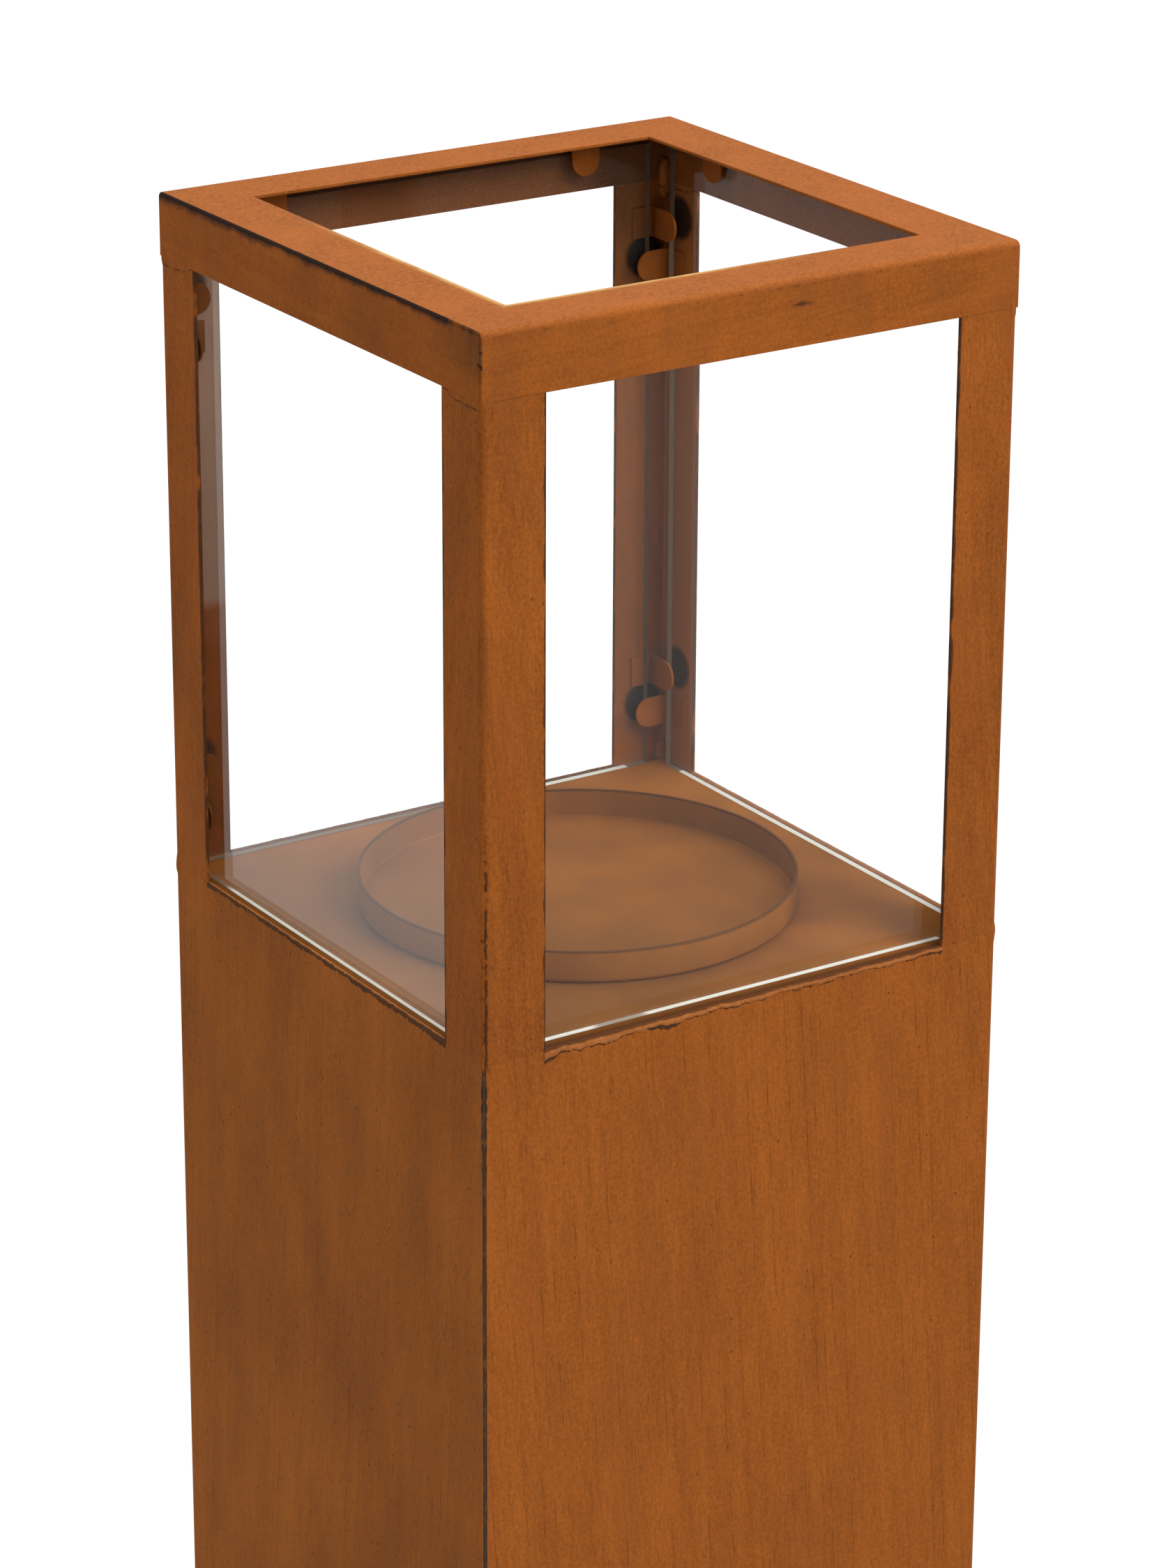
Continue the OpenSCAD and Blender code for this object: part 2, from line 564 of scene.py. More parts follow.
@dataclass(frozen=True)
class OpeningHighlight:
    """Painted highlight: pale line on the cap's top, along the edge of the opening."""

    width: float = 3.4 * MM
    start: float = -30 * MM
    full: float = -100 * MM

    def mask(self, graph: Graph) -> Value:
        """Where the line lies, beside the near corner of the opening."""
        x, y, _ = graph.spot()
        _, _, face_z = graph.facing()
        edge = abs(x).most(abs(y)) - COLUMN.window
        patchy = graph.blotches(45, (1.0, 1.0, 0.0), 3.0, 17.0).ease(0.3, 0.55)
        near = (x + y).ease(self.start, self.full)
        return edge.ease(self.width, 0.0) * face_z.above(0.2) * (0.25 + 0.75 * patchy) * near


@dataclass(frozen=True)
class CreviceShade:
    """Painted shade: dark strip in the crevice behind the window lips, paler towards the glass."""

    start: float = 0.6 * MM
    full: float = 1.6 * MM
    fade: float = 2.8 * MM
    end: float = 6.1 * MM

    def mask(self, graph: Graph) -> Value:
        """Where the strip lies."""
        x, y, _ = graph.spot()
        depth = COLUMN.outer - abs(x).most(abs(y))
        strip = depth.ease(self.start, self.full) * (1.0 - 0.7 * depth.ease(self.fade, self.end))
        return strip * depth.below(self.end) * (0.2 + 0.8 * abs(y).above(abs(x)))


@dataclass(frozen=True)
class RidgeTopShade:
    """Painted shade of the crevice on the upper part of the front and rear window lips."""

    tear: Tear

    def mask(self, graph: Graph) -> Value:
        """Where the lip is high, with an uneven border."""
        x, y, z = graph.spot()
        on_side = abs(x).above(abs(y))
        ragged = graph.blotches(260, (1.0, 1.0, 0.0), 3.0, 27.0)
        border = 0.28 * (self.tear.depth(x, y, on_side, Value.sine) - self.tear.front[0])
        drop = (COLUMN.shelf_z - z - border) / MM + 0.6 * (ragged - 0.5)
        return drop.ease(0.3, -0.45) * (1.0 - 0.9 * on_side)


@dataclass(frozen=True)
class RidgeFoot:
    """Dark outer rim of the left and right window lips."""

    width: float = 0.35 * MM

    def mask(self, graph: Graph) -> Value:
        """Where the rim lies."""
        x, y, _ = graph.spot()
        on_side = abs(x).above(abs(y))
        ragged = graph.blotches(330, (1.0, 1.0, 1.0), 4.0, 45.0)
        depth = (COLUMN.outer - abs(x)) / self.width
        return on_side * (depth - 5.0 * (ragged - 0.45)).ease(1.4, 0.6)


@dataclass(frozen=True)
class NearShade:
    """Painted shade: the shelf's and the dish's paint darkens slowly towards the left and the front."""

    start: float = 60 * MM
    full: float = -70 * MM
    front: float = 0.35
    rear: float = 0.8
    wander: float = 70 * MM

    def mask(self, graph: Graph) -> Value:
        """How strong the painted shade is."""
        x, y, _ = graph.spot()
        _, _, face_z = graph.facing()
        cloud = graph.blotches(22, (1.0, 1.0, 0.0), 3.0, 57.0)
        along = x + self.front * y.least(0.0) + self.rear * y.most(0.0)
        return (along + self.wander * (cloud - 0.5)).ease(self.start, self.full) * face_z.above(FACING)


@dataclass(frozen=True)
class DishWallShade:
    """Painted shade on the upright wall of the dish."""

    def mask(self, graph: Graph) -> Value:
        """Where the sheet stands upright."""
        _, _, face_z = graph.facing()
        return abs(face_z).ease(0.7, 0.3)


@dataclass(frozen=True)
class CornerSpots:
    """Broken dark line up the fold of the near post, solid at its foot."""

    width: float = 0.75 * MM
    apart: float = 0.9 * MM
    solid: float = 26 * MM
    reach: float = 95 * MM
    wander: float = 2.2 * MM
    fold: float = 3.0 * MM

    def mask(self, graph: Graph) -> Value:
        """Where the line lies at the front left and rear right posts."""
        x, y, z = graph.spot()
        rise = z - COLUMN.shelf_z
        coarse = graph.blotches(110, (0.2, 0.2, 1.0), 3.0, 33.0)
        fine = graph.blotches(620, (1.0, 1.0, 0.7), 4.0, 35.0)
        side = abs(x) - abs(y) + self.wander * (coarse - 0.5)
        right = (abs(side + self.apart) / self.width - 3.0 * (fine - 0.5)).ease(1.3, 0.2)
        left = (abs(side - self.apart) / self.width).ease(1.2, 0.3) * fine.ease(0.54, 0.66)
        outer = (abs(x) + abs(y)).above(2 * COLUMN.outer - self.fold) * (x * y).above(0.0)
        foot = rise.ease(self.solid, 0.5 * self.solid)
        patchy = 0.6 * coarse + 0.4 * fine + 0.1 * rise.ease(self.reach, self.solid)
        broken = patchy.ease(0.49, 0.61) * rise.below(self.reach)
        return (right * foot.most(broken)).most(left * rise.below(self.reach)) * outer


@dataclass(frozen=True)
class FoldSpeckle:
    """Broken row of dark specks along the lower end of the cap's front fold, denser to the right."""

    drop: float = 2.3 * MM
    width: float = 0.55 * MM
    wander: float = 1.4 * MM
    sparse: float = -80 * MM
    dense: float = 20 * MM

    def mask(self, graph: Graph) -> Value:
        """Where the specks lie."""
        x, y, z = graph.spot()
        wave = (graph.blotches(60, (1.0, 0.0, 0.0), 2.0, 35.0) - 0.5) * self.wander
        near = abs(z - COLUMN.top_z + self.drop + wave).ease(self.width, 0.2 * self.width)
        bits = graph.blotches(300, (1.0, 0.0, 1.0), 5.0, 37.0) + 0.05 * x.ease(self.sparse, self.dense)
        return near * bits.ease(0.52, 0.68) * y.below(-COLUMN.outer + SHEET)


@dataclass(frozen=True)
class Smear:
    """Soft dark smear on the front of the cap."""

    along: float = 17 * MM
    drop: float = 9 * MM
    half_length: float = 6.5 * MM
    half_height: float = 1.1 * MM

    def mask(self, graph: Graph) -> Value:
        """Where the smear lies."""
        x, y, z = graph.spot()
        across = (x - self.along) / self.half_length
        rise = (z - COLUMN.top_z + self.drop) / self.half_height
        ragged = graph.blotches(300, (1.0, 1.0, 1.0), 3.0, 39.0)
        away = (across * across + rise * rise) ** 0.5 + 1.4 * (ragged - 0.5)
        return away.ease(1.0, 0.1) * y.below(-COLUMN.outer + SKIN)


@dataclass(frozen=True)
class LitTop:
    """Painted light: lighter, grainy paint on what faces up."""

    def mask(self, graph: Graph) -> Value:
        """Where the sheet faces up."""
        _, _, face_z = graph.facing()
        grain = graph.blotches(900, (1.0, 1.0, 1.0), 2.0, 15.0)
        return face_z.ease(0.3, 0.95) * grain.ease(0.25, 0.7)


@dataclass(frozen=True)
class SprayShadow:
    """Dark rounds on the inside of the posts, where the clips kept the paint spray off."""

    radius: float = 8.6 * MM
    soft: float = 1.6 * MM
    from_corner: float = 10.5 * MM
    low_heights: tuple[float, float] = (764.8 * MM, 946.8 * MM)
    step: float = 16 * MM
    front_shift: float = -0.5 * MM
    side_shift: float = 1.5 * MM

    def _rounds(self, across: Value, z: Value, further: float) -> Value:
        """Rounds at the two low heights on the flanges of one direction."""
        side = abs(across) - (COLUMN.outer - SHEET - self.from_corner - further)
        masks = []
        for height in self.low_heights:
            rise = z - height
            away = (side * side + rise * rise) ** 0.5
            masks.append(away.ease(self.radius + self.soft, self.radius - self.soft))
        return masks[0].most(masks[1])

    def mask(self, graph: Graph) -> Value:
        """Where the rounds lie.

        Seen from outside, they are low at each pane's left end and a step higher at its right end.
        """
        x, y, z = graph.spot()
        face_x, face_y, _ = graph.facing()
        front = self._rounds(x, z - self.step * (x * y).below(0.0), self.front_shift)
        side = self._rounds(y, z - self.step * (x * y).above(0.0), self.side_shift)
        rounds = (front * abs(face_y).above(FACING)).most(side * abs(face_x).above(FACING))
        return rounds * graph.outward().below(0.0)


@dataclass(frozen=True)
class TornShade:
    """Thin, broken dark line on the walls under the window lips, smeared at the windows' ends."""

    tear: Tear
    margin: float = 0.3 * MM
    blot: float = -36 * MM
    blot_reach: float = 9 * MM

    def mask(self, graph: Graph) -> Value:
        """Where the line lies, with one broader blot on the front."""
        x, y, z = graph.spot()
        window = abs(x).least(abs(y)).below(COLUMN.window + self.margin)
        on_side = abs(x).above(abs(y))
        run = self.tear.run(x, y)
        ragged = graph.blotches(800, (1.0, 1.0, 0.35), 4.0, 6.0)
        patch = graph.blotches(120, (1.0, 1.0, 0.0), 3.0, 43.0)
        ends = 0.9 * run.ease(0.92, 0.99) + 0.7 * run.ease(0.06, 0.0)
        blot = abs(x - self.blot).ease(self.blot_reach, self.blot_reach / 3) * (1.0 - on_side) * y.below(0.0)
        bitten = on_side * (0.4 + 2.6 * (graph.blotches(240, (1.0, 1.0, 0.2), 3.0, 47.0) - 0.5))
        thick = 0.25 + bitten + 2.6 * (ragged - 0.5) + 1.6 * (patch - 0.5) + ends + 1.1 * blot
        below = (COLUMN.shelf_z - self.tear.depth(x, y, on_side, Value.sine) - z) / MM
        return window * (below - thick).ease(0.15, -0.15)


@dataclass(frozen=True)
class SeamShade:
    """Dark, uneven line along the open seams, wide at the top and faint a little below that."""

    wide: float = 1.2 * MM
    faint: float = -66 * MM
    faint_reach: float = 26 * MM
    faint_core: float = 10 * MM
    narrow_from: float = -20 * MM
    narrow_at: float = -100 * MM
    gap: float = 2.4 * MM

    def mask(self, graph: Graph) -> Value:
        """Where the line lies at the front left and rear right corners."""
        x, y, z = graph.spot()
        corner = 2 * COLUMN.outer - abs(x + y)
        ragged = graph.blotches(240, (0.2, 0.2, 1.0), 4.0, 3.0)
        rise = z - COLUMN.shelf_z
        thin = abs(rise - self.faint).ease(self.faint_reach, self.faint_core)
        taper = rise.ease(self.narrow_at, self.narrow_from)
        width = self.wide * (0.3 + 0.7 * taper + 1.5 * (ragged - 0.5) - 0.25 * thin)
        break_up = 1.0 - abs(rise).ease(self.gap, 0.5 * self.gap)
        return ((corner - width) / MM).ease(0.35, -0.1) * break_up * (1.0 - 0.7 * thin)


@dataclass(frozen=True)
class RimLine:
    """Dark line along the top edge of the dish."""

    height: float
    width: float = 0.7 * MM

    def mask(self, graph: Graph) -> Value:
        """Where the line lies."""
        _, _, z = graph.spot()
        return (z - self.height).ease(-1.6 * self.width, -0.6 * self.width)


class Place(Protocol):
    """Somewhere on the column that a mark covers."""

    def mask(self, graph: Graph) -> Value:
        """How far each point belongs to the place, from 0 to 1."""
        ...


@dataclass(frozen=True)
class Mark:
    """A worn place or a place of painted light or shade, with its colour and strength."""

    place: Place
    colour: Colour
    strength: float


@dataclass(frozen=True)
class RustPaint:
    """Rust-coloured spray paint on sheet steel, with streaks, grain, specks and marks, some of which are
    painted light and shade.
    """

    name: str
    dark: Colour
    light: Colour
    grain: Grain
    dull: Colour = (0.205, 0.067, 0.0165)
    ruddy: Colour = (0.33, 0.08, 0.0185)
    lean: float = 4.0
    streak: float = 0.5
    cloud: float = 0.4
    dulled: float = 0.4
    grit: float = 0.75
    specks: float = 1.0
    threads: float = 0.0
    roughness: float = 0.66
    gloss: float = 0.06
    bump: float = 0.25
    relief: float = 0.4 * MM
    speck_radius: float = 0.55 * MM
    thread_width: float = 0.42 * MM
    marks: tuple[Mark, ...] = ()

    def material(self) -> bpy.types.Material:
        """Builds the finish.

        Returns:
            The new material.
        """
        made, graph = blank(self.name)
        stretch = self.grain.value
        lean = graph.leaning(self.lean)
        short = tuple(max(share, 0.06) for share in stretch)
        fine = graph.blotches(1300, short, 2.0, 0.0, lean)
        band = graph.blotches(210, stretch, 1.0, 5.0, lean)
        cloud = graph.blotches(26, (1.0, 1.0, 0.5), 3.0, 8.0)
        grit = graph.blotches(850, (1.0, 1.0, 0.8), 2.0, 1.0)
        tone = (fine - 0.5) * 0.9 * self.streak + (band - 0.5) * 0.7 * self.streak
        tone = tone + (cloud - 0.5) * self.cloud + (grit - 0.5) * self.grit
        colour = graph.mix(0.5 + tone, self.dark, self.light)
        dull = graph.blotches(48, (1.0, 1.0, 0.3), 3.0, 21.0, lean).ease(0.42, 0.78)
        colour = graph.mix(dull * self.dulled, colour, self.dull)
        ruddy = graph.blotches(170, stretch, 2.0, 41.0, lean).ease(0.5, 0.75)
        colour = graph.mix(ruddy * self.streak * 0.6, colour, self.ruddy)
        hair = graph.blotches(1000, short, 3.0, 7.0, lean)
        dots = graph.dots(210, self.speck_radius, 3.0)
        speck = (hair.ease(0.62, 0.78) * 0.3).most(dots * 0.75) * self.specks
        colour = graph.mix(speck, colour, tuple(0.3 * share for share in self.dark))
        if self.threads:
            dash = graph.blotches(130, (1.0, 1.0, 0.6), 6.0, 53.0).ease(0.4, 0.64)
            line = graph.threads(graph.leaning(0.5 * self.lean), 200, self.thread_width) * dash * self.threads
            colour = graph.mix(line, colour, tuple(0.4 * share for share in self.dark))
        for mark in self.marks:
            colour = graph.mix(mark.place.mask(graph) * mark.strength, colour, mark.colour)
        height = fine * 0.5 + grit * 0.6 - speck * 0.5
        roughness = self.roughness + (grit - 0.5) * 0.3
        coat = {"Base Color": colour, "Roughness": roughness, "Specular IOR Level": self.gloss}
        graph.coat(coat, height, self.bump, self.relief)
        return made


@dataclass(frozen=True)
class WeldSteel:
    """Dark, uneven weld bead under thin paint."""

    name: str
    base: Colour = (0.035, 0.021, 0.013)
    light: Colour = (0.11, 0.052, 0.022)
    gloss: float = 0.3
    bump: float = 0.6
    relief: float = 0.5 * MM

    def material(self) -> bpy.types.Material:
        """Builds the finish.

        Returns:
            The new material.
        """
        made, graph = blank(self.name)
        lumps = graph.blotches(420, (1.0, 1.0, 0.5), 4.0)
        colour = graph.mix(lumps.ease(0.45, 0.7), self.base, self.light)
        coat = {"Base Color": colour, "Roughness": 0.75 - 0.2 * lumps, "Specular IOR Level": self.gloss}
        graph.coat(coat, lumps, self.bump, self.relief)
        return made


@dataclass(frozen=True)
class ClearGlass:
    """Clear, slightly dusty float glass with a ground bottom edge, which lets most lamp light through; the
    edge's glow is painted light.
    """

    name: str
    tint: Colour = (0.985, 0.997, 0.992)
    index: float = 1.37
    gloss: Colour = (0.32, 0.32, 0.32)
    haze: float = 0.003
    foot_haze: float = 0.03
    shade: Colour = (0.84, 0.85, 0.845)
    ground: Colour = (0.74, 0.72, 0.65)
    dim_edge: Colour = (0.22, 0.145, 0.095)
    ground_glow: float = 0.12
    smeared: float = 0.003
    chip_x: float = -49 * MM
    chip_reach: float = 13 * MM
    chip_core: float = 8 * MM
    row: float = 90 * MM
    rear_end: float = 40 * MM
    flank: float = 100 * MM
    left_start: float = 72 * MM
    left_full: float = 80 * MM
    hidden: float = 89 * MM
    foot: float = 5 * MM
    haze_top: float = 4.2 * MM
    haze_full: float = 1.2 * MM

    def dim_edges(self, graph: Graph) -> Value:
        """Where the cut edges are dark and without the painted glow: far off, behind the posts, above the
        foot and at the chip.
        """
        x, y, z = graph.spot()
        chip = 0.75 * abs(x - self.chip_x).ease(self.chip_reach, self.chip_core) * y.below(-self.row)
        rear = y.above(self.row) * x.ease(self.rear_end, 0.0)
        left = y.ease(self.left_start, self.left_full) * x.below(-self.flank)
        beyond = abs(x).least(abs(y)).above(self.hidden).most(z.above(COLUMN.shelf_z + self.foot))
        return rear.most(left).most(beyond).most(chip)

    def material(self) -> bpy.types.Material:
        """Builds the finish.

        Returns:
            The new material.
        """
        made, graph = blank(self.name)
        smear = graph.blotches(9, (1.0, 1.0, 0.4), 4.0)
        x, y, z = graph.spot()
        face_x, face_y, face_z = graph.facing()
        sheet = {
            "Base Color": self.tint,
            "Roughness": smear.ease(0.55, 0.8) * self.smeared,
            "IOR": self.index,
            "Specular Tint": self.gloss,
            "Transmission Weight": 1.0,
        }
        glass = graph.read("BsdfPrincipled", sheet)
        clear = graph.read("BsdfTransparent", {"Color": self.shade})
        dust = graph.read("BsdfDiffuse", {"Color": self.ground})
        rise = z - COLUMN.shelf_z
        low = rise.ease(self.haze_top, self.haze_full) * (1.0 + 1.2 * abs(x).above(self.flank))
        haze = self.haze * (0.6 + 0.8 * smear) + self.foot_haze * low
        hazy = graph.read("MixShader", {0: haze, 1: glass, 2: dust})
        dim_edges = self.dim_edges(graph)
        rough = {
            "Base Color": graph.mix(dim_edges, self.ground, self.dim_edge),
            "Roughness": 0.8,
            "Specular IOR Level": 0.1,
            # painted light: the ground edges glow in the glass's own colour, except where they are dark
            "Emission Color": graph.mix(dim_edges, self.ground, (0.0, 0.0, 0.0)),
            "Emission Strength": self.ground_glow,
        }
        edge = graph.read("BsdfPrincipled", rough)
        on_side = abs(x).above(abs(y))
        ends = abs(face_x).above(FACING) * (1.0 - on_side) + abs(face_y).above(FACING) * on_side
        cut = abs(face_z).above(FACING).most(ends) * 0.95
        body = graph.read("MixShader", {0: cut, 1: hazy, 2: edge})
        shadow = graph.read("LightPath", output="Is Shadow Ray")
        graph.finish(graph.read("MixShader", {0: shadow, 1: body, 2: clear}))
        return made


@dataclass
class Piece:
    """A mesh made here, which rides on a body and takes a finish."""

    name: str
    body: str
    slot: str

    def place(self, shape: bmesh.types.BMesh, finish: bpy.types.Material) -> None:
        """Turns a shape into an object of the scene.

        Args:
            shape: The mesh, in metres in the shared frame. It is freed.
            finish: The material.
        """
        bmesh.ops.recalc_face_normals(shape, faces=shape.faces)
        mesh = bpy.data.meshes.new(self.name)
        shape.to_mesh(mesh)
        shape.free()
        mesh.shade_smooth()
        mesh.materials.append(finish)
        made = bpy.data.objects.new(self.name, mesh)
        bpy.context.scene.collection.objects.link(made)
        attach(made, self.body)
        LOG.info("piece %s: %d faces", self.name, len(mesh.polygons))


@dataclass
class WindowLips:
    """Torn lips of thick paint and filler along the walls' top edges, in the four windows."""

    tear: Tear
    step: float = 0.5 * MM
    proud: float = 0.32 * MM
    rise: float = 0.45 * MM
    back: float = 2.3 * MM
    overlap: float = 0.4 * MM
    fine_length: float = 1.3 * MM
    coarse_length: float = 7 * MM
    bite: float = 0.2 * MM
    least_drop: float = 0.1 * MM

    def section(self, middle: Vector, on_side: float, seed: float) -> list[tuple[float, float]]:
        """Outline across the lip.

        Args:
            middle: Place on the wall.
            on_side: 1 on the left and right sides and 0 on the front and rear.
            seed: Offset of the side's own pattern.

        Returns:
            Points as (distance out from the wall's face, height above the shelf).
        """
        along = middle.x + middle.y
        fine = noise.noise((along / self.fine_length, seed, 0.0))
        coarse = noise.noise((along / self.coarse_length, seed, 5.0))
        swell = max(0.3, 1.0 + 0.35 * coarse + 0.35 * fine)
        out = self.proud * swell * (1.0 - 0.5 * on_side)
        top = self.rise * swell
        drop = max(self.least_drop, self.tear.depth(middle.x, middle.y, on_side, math.sin) + self.bite * fine)
        return [
            (-0.1 * MM, -drop),
            (0.6 * out, -0.9 * drop),
            (out, -0.35 * drop),
            (0.7 * out, 0.5 * top),
            (-0.35 * MM, 0.95 * top),
            (-1.0 * MM, top),
            (-1.7 * MM, 0.55 * top),
            (-self.back, -0.5 * MM),
            (-0.9 * MM, -0.6 * MM),
        ]

    def shape(self, side: Side) -> bmesh.types.BMesh:
        """Sweeps the section along one window.

        Args:
            side: Side of the column.

        Returns:
            The lip's mesh.
        """
        reach = COLUMN.window + self.overlap
        count = int(2 * reach / self.step)
        made = bmesh.new()
        rings = []
        for index in range(count + 1):
            along = -reach + 2 * reach * index / count
            middle = side.turn @ Vector((along, -COLUMN.outer, 0.0))
            ring = []
            for out, up in self.section(middle, float(side in (Side.LEFT, Side.RIGHT)), 10.0 + side.value):
                point = Vector((along, -COLUMN.outer - out, COLUMN.shelf_z + up))
                ring.append(made.verts.new(side.turn @ point))
            rings.append(ring)
        size = len(rings[0])
        for first, second in zip(rings, rings[1:]):
            for index in range(size):
                after = (index + 1) % size
                made.faces.new((first[index], first[after], second[after], second[index]))
        made.faces.new(rings[0])
        made.faces.new(rings[-1])
        return made

    def build(self, finish: bpy.types.Material) -> None:
        """Makes the four lips."""
        for side in Side:
            Piece(f"{side.name.lower()}_window_lip", "column", "wall_paint").place(self.shape(side), finish)


@dataclass
class CornerWelds:
    """Lumps of weld at the outer corners, where the posts meet the walls and the cap."""

    half_height: float = 8 * MM
    fold: float = 2.5 * MM
    proud: float = 0.4 * MM
    seed: int = 41

    def lump(self, made: bmesh.types.BMesh, turn: Matrix, height: float, draw: random.Random) -> None:
        """Adds one lump at the corner.

        Args:
            made: Mesh that takes it.
            turn: Rotation from the front left corner.
            height: Height of its middle.
            draw: Source of its random form.
        """
        ball = bmesh.ops.create_icosphere(made, subdivisions=4, radius=1.0)["verts"]
        seed = draw.uniform(0.0, 50.0)
        tall = self.half_height * draw.uniform(0.75, 1.15)
        wide = self.fold + self.proud * draw.uniform(0.6, 1.2)
        centre = Vector((-COLUMN.outer + self.fold, -COLUMN.outer + self.fold, height))
        for vert in ball:
            swell = 1.0 + 0.07 * noise.noise(vert.co * 2.2 + Vector((seed, 0.0, 0.0)))
            local = Vector((vert.co.x * wide, vert.co.y * wide, vert.co.z * tall)) * swell
            vert.co = turn @ (centre + local)

    def build(self, finish: bpy.types.Material) -> None:
        """Makes the lower and upper sets of four."""
        draw = random.Random(self.seed)
        for name, height in (("lower", COLUMN.shelf_z), ("upper", COLUMN.skirt_z)):
            made = bmesh.new()
            for side in Side:
                self.lump(made, side.turn, height, draw)
            Piece(f"{name}_corner_welds", "column", "head_paint").place(made, finish)


@dataclass
class SheetParts:
    """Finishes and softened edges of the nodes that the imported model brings."""

    edge: float = 0.25 * MM
    merge: float = 0.01 * MM
    sharp: float = math.radians(40)
    flush: tuple[str, ...] = ("shell", "post", "tray", "seam_welds", "side")

    def soften(self, node: bpy.types.Object) -> None:
        """Rounds a node's sharp edges a little, unless it lies flush with its neighbours."""
        if node.name.endswith(self.flush):
            return
        weld = node.modifiers.new("joined_edges", "WELD")
        weld.merge_threshold = self.merge
        bevel = node.modifiers.new("soft_edges", "BEVEL")
        bevel.width = self.edge
        bevel.segments = 2
        bevel.limit_method = "ANGLE"
        bevel.angle_limit = self.sharp

    def dress(self, finishes: dict[str, bpy.types.Material]) -> None:
        """Gives each node the finish of the longest matching part of its name.

        Args:
            finishes: Finish by ending or whole name of the nodes.
        """
        for name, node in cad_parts.items():
            key = max((k for k in finishes if name.endswith(k)), key=len)
            for slot in node.material_slots:
                slot.material = finishes[key]
            self.soften(node)
            LOG.info("node %s: %s", name, finishes[key].name)


@dataclass(frozen=True)
class Lamp:
    """A soft square lamp, which the camera doesn't see."""

    name: str
    place: Point
    size: float
    watts: float

    def hang(self, aim: Point) -> None:
        """Hangs the lamp so that it faces a point."""
        light = bpy.data.lights.new(self.name, "AREA")
        light.size = self.size
        light.energy = self.watts
        lamp = bpy.data.objects.new(self.name, light)
        lamp.location = self.place
        lamp.rotation_euler = (Vector(aim) - Vector(self.place)).to_track_quat("-Z", "Y").to_euler()
        lamp.visible_camera = False
        bpy.context.scene.collection.objects.link(lamp)


@dataclass
class Studio:
    """White floor and surround, soft lamps and the camera."""

    floor_half: float = 8.0
    floor_tone: float = 0.62
    floor_drop: float = 0.5 * MM
    near_lift: float = 0.42
    far_lift: float = 0.66
    lift_reach: float = 3.0
    world_level: float = 0.55
    camera_place: Point = (-0.9204, -1.4186, 1.4398)
    azimuth: float = -32.925
    elevation: float = 19.353
    roll: float = 0.228
    lens: float = 113.26
    sensor: float = 36.0
    shift: float = -0.10
    aim: Point = (0.0, 0.0, 0.7)
    lamps: tuple[Lamp, ...] = (
        Lamp("key", (1.3, -2.6, 3.0), size=2.0, watts=70.0),
        Lamp("overhead", (0.0, 0.4, 3.4), size=2.4, watts=28.0),
    )

    @staticmethod
    def shown(graph: Graph) -> Value:
        """1 for rays that show the surround itself, 0 for those that light the object."""
        path = graph.node("LightPath")
        seen = Value(graph, path.outputs["Is Camera Ray"])
        for name in ("Is Glossy Ray", "Is Transmission Ray"):
            seen = seen.most(Value(graph, path.outputs[name]))
        return seen * Value(graph, path.outputs["Diffuse Depth"]).below(0.5)

    def surround(self) -> None:
        """Sets the world: white where it shows, plain soft light elsewhere."""
        world = bpy.data.worlds.new("surround")
        world.use_nodes = True
        bpy.context.scene.world = world
        graph = Graph(world.node_tree)
        strength = self.world_level + (1.0 - self.world_level) * self.shown(graph)
        light = graph.read("Background", {"Color": (1.0, 1.0, 1.0), "Strength": strength})
        graph.node("OutputWorld", {"Surface": light})

    def floor(self) -> None:
        """Lays a pale floor that shows white and keeps the shadow."""
        made = bmesh.new()
        bmesh.ops.create_grid(made, x_segments=8, y_segments=8, size=self.floor_half)
        mesh = bpy.data.meshes.new("floor")
        made.to_mesh(mesh)
        made.free()
        floor = bpy.data.objects.new("floor", mesh)
        floor.location.z = -self.floor_drop
        bpy.context.scene.collection.objects.link(floor)
        paint, graph = blank("pale_floor")
        matt = graph.read("BsdfDiffuse", {"Color": (self.floor_tone,) * 3})
        x, y, _ = graph.spot()
        away = ((x * x + y * y) ** 0.5).ease(0.0, self.lift_reach)
        lift = self.near_lift + away * (self.far_lift - self.near_lift)
        glow = graph.read("Emission", {"Strength": lift * self.shown(graph)})
        graph.finish(graph.read("AddShader", {0: matt, 1: glow}))
        mesh.materials.append(paint)

    def camera(self) -> None:
        """Sets the camera at the photograph's viewing angle."""
        view = bpy.data.cameras.new("camera")
        view.lens = self.lens
        view.sensor_width = self.sensor
        view.shift_y = self.shift
        camera = bpy.data.objects.new("camera", view)
        turn = Matrix.Rotation(math.radians(self.azimuth), 4, "Z")
        tilt = Matrix.Rotation(math.radians(90.0 - self.elevation), 4, "X")
        level = Matrix.Rotation(math.radians(self.roll), 4, "Z")
        camera.matrix_world = Matrix.Translation(self.camera_place) @ turn @ tilt @ level
        bpy.context.scene.collection.objects.link(camera)
        bpy.context.scene.camera = camera

    def build(self) -> None:
        """Sets up the whole studio."""
        self.surround()
        self.floor()
        self.camera()
        for lamp in self.lamps:
            lamp.hang(self.aim)
        LOG.info("studio set")


